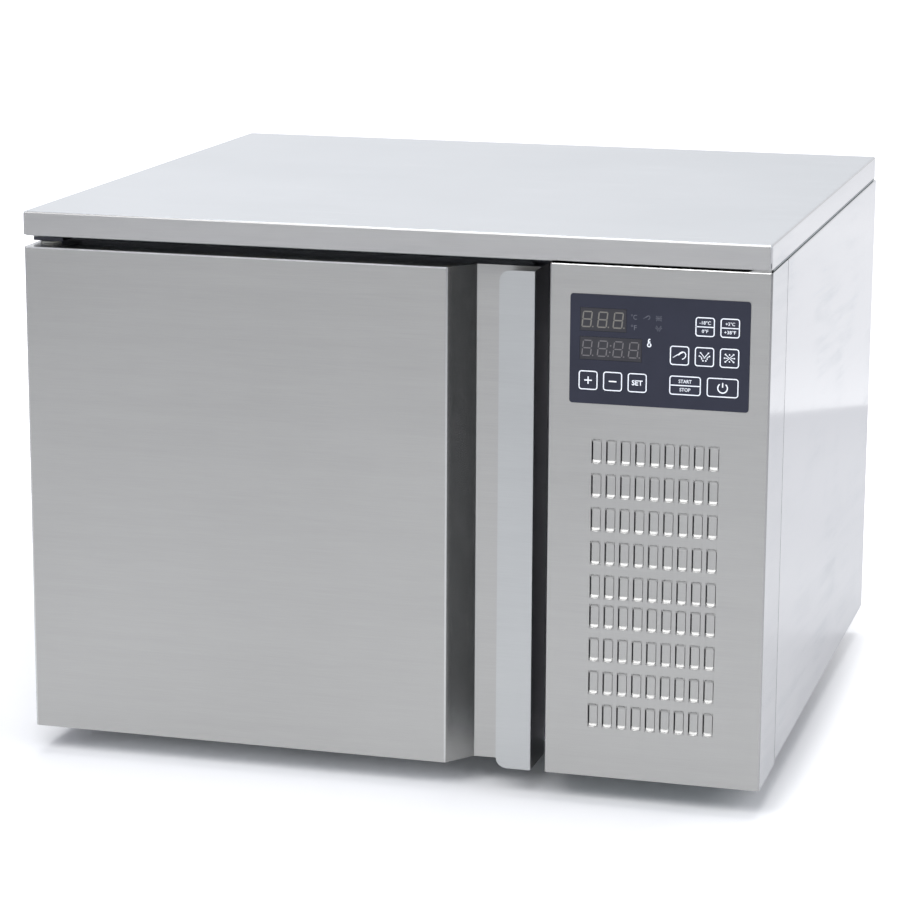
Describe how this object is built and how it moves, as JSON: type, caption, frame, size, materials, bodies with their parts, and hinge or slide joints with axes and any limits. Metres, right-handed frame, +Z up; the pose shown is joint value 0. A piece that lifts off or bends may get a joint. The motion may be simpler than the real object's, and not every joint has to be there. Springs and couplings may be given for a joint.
{
  "type": "countertop blast chiller",
  "caption": "Countertop blast chiller: hinged insulated door with finger channel, louvred service panel with keypad, tray racks, evaporator fan and condensing unit under a flat steel worktop.",
  "frame": {"origin": "centre of the bounding box's footprint, on the surface that the feet stand on", "axes": "+X to the right seen from the front, +Y to the back, +Z up; the door and keypad face -Y"},
  "size_m": [0.64, 0.585, 0.477],
  "materials": {
    "worktop_steel": "brushed stainless, bright",
    "side_steel": "brushed stainless, bright",
    "front_steel": "brushed stainless, satin",
    "liner_steel": "bright stainless",
    "galvanised_steel": "galvanised",
    "zinc_steel": "zinc plated",
    "pin_steel": "polished",
    "rack_steel": "electropolished wire",
    "coil_aluminium": "mill finish",
    "copper": "drawn copper",
    "board_core": "bonded board",
    "dark_plastic": "matt",
    "foam": "cellular",
    "gasket_rubber": "soft",
    "foot_rubber": "moulded",
    "nylon": "natural",
    "motor_paint": "black stoved paint",
    "fan_plastic": "moulded",
    "keypad_film": "printed polyester film",
    "key_film": "printed polyester film",
    "display_lens": "smoked window",
    "circuit_board": "solder resist"
  },
  "bodies": {
    "cabinet": {"worktop": "worktop_steel", "worktop_core": "board_core", "deck_plate": "galvanised_steel", "left_side_panel": "side_steel", "right_side_panel": "side_steel", "front_service_panel": "front_steel", "rear_panel": "galvanised_steel", "base_pan": "galvanised_steel", "compartment_partition": "galvanised_steel", "mullion_cover": "dark_plastic", "chamber_frame": "dark_plastic", "inner_liner": "liner_steel", "insulation": "foam", "hinge_bracket_top": "zinc_steel", "hinge_bracket_bottom": "zinc_steel", "hinge_pin_top": "pin_steel", "hinge_pin_bottom": "pin_steel", "evaporator_coil": "coil_aluminium", "evaporator_cover": "liner_steel", "evaporator_fan_motor": "motor_paint", "tray_rack_left": "rack_steel", "tray_rack_right": "rack_steel", "chamber_drain": "nylon", "probe_grommet": "gasket_rubber", "compressor": "motor_paint", "condenser_coil": "coil_aluminium", "condenser_fan_shroud": "galvanised_steel", "condenser_fan_motor": "motor_paint", "filter_drier": "copper", "discharge_pipe": "copper", "suction_pipe": "copper", "liquid_pipe": "copper", "control_overlay": "keypad_film", "control_board": "circuit_board", "display_upper": "display_lens", "display_lower": "display_lens", "power_box": "dark_plastic", "cable_gland": "nylon", "foot_front_left": "foot_rubber", "foot_front_right": "foot_rubber", "foot_rear_left": "foot_rubber", "foot_rear_right": "foot_rubber"},
    "door": {"door_skin": "front_steel", "door_foam": "foam", "door_liner": "liner_steel", "door_gasket": "gasket_rubber", "hinge_bush_top": "nylon", "hinge_bush_bottom": "nylon"},
    "evaporator_fan": {"evaporator_fan_blade": "fan_plastic"},
    "condenser_fan": {"condenser_fan_blade": "fan_plastic"},
    "key_plus": {"key_plus": "key_film"},
    "key_minus": {"key_minus": "key_film"},
    "key_set": {"key_set": "key_film"},
    "key_start_stop": {"key_start_stop": "key_film"},
    "key_power": {"key_power": "key_film"},
    "key_core_probe": {"key_core_probe": "key_film"},
    "key_defrost": {"key_defrost": "key_film"},
    "key_hard_chill": {"key_hard_chill": "key_film"},
    "key_freeze": {"key_freeze": "key_film"},
    "key_chill": {"key_chill": "key_film"}
  },
  "joints": [
    {"name": "door_hinge", "type": "hinge", "parent": "cabinet", "child": "door", "pos_m": [-0.306, -0.2615, 0.236], "axis": [0, 0, -1], "range_deg": [0, 115]},
    {"name": "evaporator_fan_spin", "type": "hinge", "parent": "cabinet", "child": "evaporator_fan", "pos_m": [-0.104, 0.135, 0.241], "axis": [0, -1, 0], "continuous": true},
    {"name": "condenser_fan_spin", "type": "hinge", "parent": "cabinet", "child": "condenser_fan", "pos_m": [0.22773, -0.2122, 0.1546], "axis": [0, -1, 0], "continuous": true},
    {"name": "key_plus_press", "type": "slide", "parent": "cabinet", "child": "key_plus", "axis": [0, 1, 0], "range_m": [0, 0.0004], "stiffness_N_per_m": 2000},
    {"name": "key_minus_press", "type": "slide", "parent": "cabinet", "child": "key_minus", "axis": [0, 1, 0], "range_m": [0, 0.0004], "stiffness_N_per_m": 2000},
    {"name": "key_set_press", "type": "slide", "parent": "cabinet", "child": "key_set", "axis": [0, 1, 0], "range_m": [0, 0.0004], "stiffness_N_per_m": 2000},
    {"name": "key_start_stop_press", "type": "slide", "parent": "cabinet", "child": "key_start_stop", "axis": [0, 1, 0], "range_m": [0, 0.0004], "stiffness_N_per_m": 2000},
    {"name": "key_power_press", "type": "slide", "parent": "cabinet", "child": "key_power", "axis": [0, 1, 0], "range_m": [0, 0.0004], "stiffness_N_per_m": 2000},
    {"name": "key_core_probe_press", "type": "slide", "parent": "cabinet", "child": "key_core_probe", "axis": [0, 1, 0], "range_m": [0, 0.0004], "stiffness_N_per_m": 2000},
    {"name": "key_defrost_press", "type": "slide", "parent": "cabinet", "child": "key_defrost", "axis": [0, 1, 0], "range_m": [0, 0.0004], "stiffness_N_per_m": 2000},
    {"name": "key_hard_chill_press", "type": "slide", "parent": "cabinet", "child": "key_hard_chill", "axis": [0, 1, 0], "range_m": [0, 0.0004], "stiffness_N_per_m": 2000},
    {"name": "key_freeze_press", "type": "slide", "parent": "cabinet", "child": "key_freeze", "axis": [0, 1, 0], "range_m": [0, 0.0004], "stiffness_N_per_m": 2000},
    {"name": "key_chill_press", "type": "slide", "parent": "cabinet", "child": "key_chill", "axis": [0, 1, 0], "range_m": [0, 0.0004], "stiffness_N_per_m": 2000}
  ]
}
